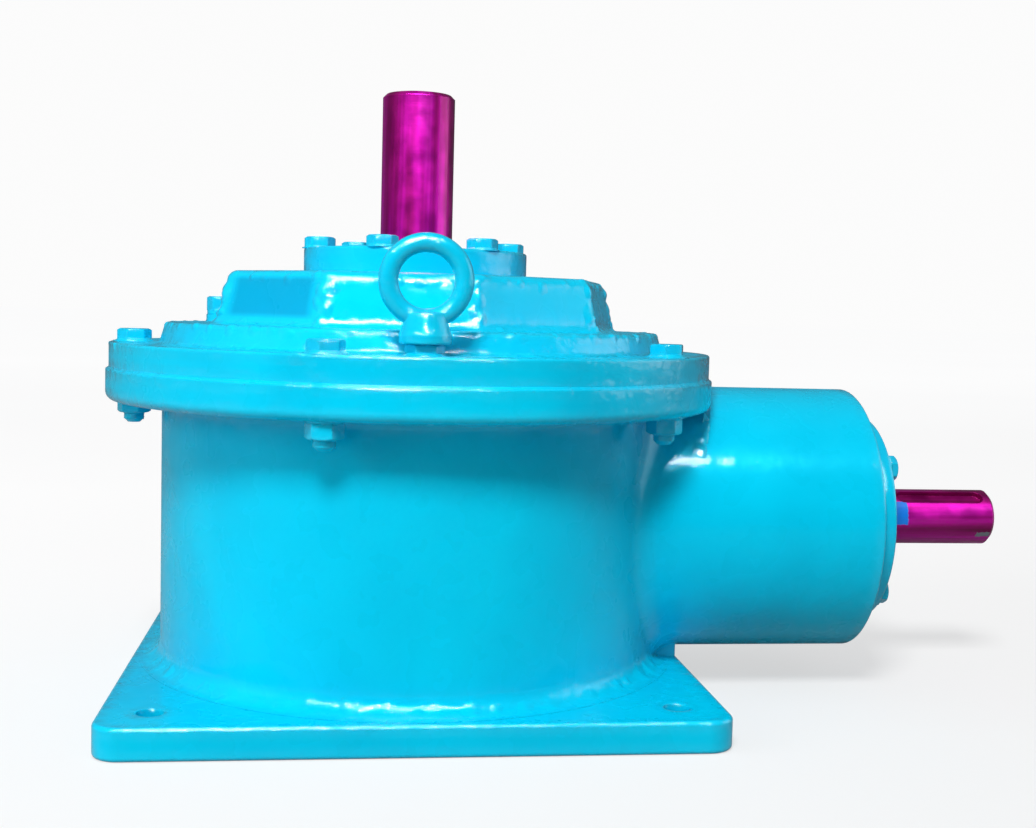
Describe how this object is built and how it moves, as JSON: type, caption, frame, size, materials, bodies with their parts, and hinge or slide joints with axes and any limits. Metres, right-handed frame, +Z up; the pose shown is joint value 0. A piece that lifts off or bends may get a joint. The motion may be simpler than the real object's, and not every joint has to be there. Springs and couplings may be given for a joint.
{
  "type": "bevel gearbox",
  "caption": "Right-angle bevel gearbox: round drum on a square foot, flanged cover with nine-sided crown, keyed vertical output shaft and keyed horizontal input shaft in a barrel.",
  "frame": {"origin": "on the vertical output shaft's axis, in the plane of the foot's underside, at the centre of the four foot holes", "axes": "+Z up along the output shaft, +X out along the horizontal input shaft, -Y towards the viewer of the picture"},
  "size_m": [0.764, 0.5, 0.49],
  "materials": {
    "blue_enamel": "thick gloss enamel",
    "pink_lacquer": "clear gloss lacquer",
    "bare_steel": "ground",
    "cast_hub": "machined",
    "plated_brass": "satin",
    "sight_glass": "clear",
    "seal_rubber": "matte",
    "gasket": "matte"
  },
  "bodies": {
    "housing": {"case": "blue_enamel", "cover": "blue_enamel", "cover_gasket": "gasket", "cover_bolts": "blue_enamel", "cover_nuts": "blue_enamel", "output_cap": "blue_enamel", "output_cap_bolts": "blue_enamel", "output_seal": "seal_rubber", "pinion_sleeve": "blue_enamel", "input_cap": "blue_enamel", "input_cap_bolts": "blue_enamel", "input_seal": "seal_rubber", "lifting_eye_front": "blue_enamel", "lifting_eye_rear": "blue_enamel", "lifting_eye_nuts": "blue_enamel", "filler_plug": "blue_enamel", "drain_plug": "blue_enamel", "sight_glass_bezel": "plated_brass", "sight_glass": "sight_glass", "upper_bearing_cup": "bare_steel", "lower_bearing_cup": "bare_steel", "pinion_inner_bearing_cup": "bare_steel", "pinion_outer_bearing_cup": "bare_steel"},
    "output_shaft": {"output_shaft": "pink_lacquer", "crown_wheel": "bare_steel", "wheel_hub": "cast_hub", "wheel_bolts": "bare_steel", "wheel_key": "bare_steel", "wheel_spacer": "bare_steel", "upper_bearing_cone": "bare_steel", "lower_bearing_cone": "bare_steel"},
    "input_shaft": {"pinion_shaft": "pink_lacquer", "cone_spacer": "bare_steel", "bearing_locknut": "bare_steel", "bearing_lockwasher": "bare_steel", "pinion_inner_bearing_cone": "bare_steel", "pinion_outer_bearing_cone": "bare_steel"},
    "upper_rollers": {"upper_bearing_cage": "bare_steel", "upper_bearing_rollers": "bare_steel"},
    "lower_rollers": {"lower_bearing_cage": "bare_steel", "lower_bearing_rollers": "bare_steel"},
    "pinion_inner_rollers": {"pinion_inner_bearing_cage": "bare_steel", "pinion_inner_bearing_rollers": "bare_steel"},
    "pinion_outer_rollers": {"pinion_outer_bearing_cage": "bare_steel", "pinion_outer_bearing_rollers": "bare_steel"}
  },
  "joints": [
    {"name": "output_spin", "type": "hinge", "parent": "housing", "child": "output_shaft", "pos_m": [0, 0, 0.14], "axis": [0, 0, 1], "continuous": true},
    {"name": "input_spin", "type": "hinge", "parent": "housing", "child": "input_shaft", "pos_m": [0.2, 0, 0.14], "axis": [1, 0, 0], "continuous": true},
    {"name": "upper_rollers_orbit", "type": "hinge", "parent": "housing", "child": "upper_rollers", "pos_m": [0, 0, 0.312], "axis": [0, 0, 1], "continuous": true},
    {"name": "lower_rollers_orbit", "type": "hinge", "parent": "housing", "child": "lower_rollers", "pos_m": [0, 0, 0.036], "axis": [0, 0, 1], "continuous": true},
    {"name": "pinion_inner_rollers_orbit", "type": "hinge", "parent": "housing", "child": "pinion_inner_rollers", "pos_m": [0.173, 0, 0.14], "axis": [1, 0, 0], "continuous": true},
    {"name": "pinion_outer_rollers_orbit", "type": "hinge", "parent": "housing", "child": "pinion_outer_rollers", "pos_m": [0.33, 0, 0.14], "axis": [1, 0, 0], "continuous": true}
  ],
  "couplings": [
    {"joint": "input_spin", "follows": "output_spin", "ratio": -3},
    {"joint": "upper_rollers_orbit", "follows": "output_spin", "ratio": 0.4312},
    {"joint": "lower_rollers_orbit", "follows": "output_spin", "ratio": 0.4283},
    {"joint": "pinion_inner_rollers_orbit", "follows": "output_spin", "ratio": -1.2849},
    {"joint": "pinion_outer_rollers_orbit", "follows": "output_spin", "ratio": -1.2258}
  ]
}
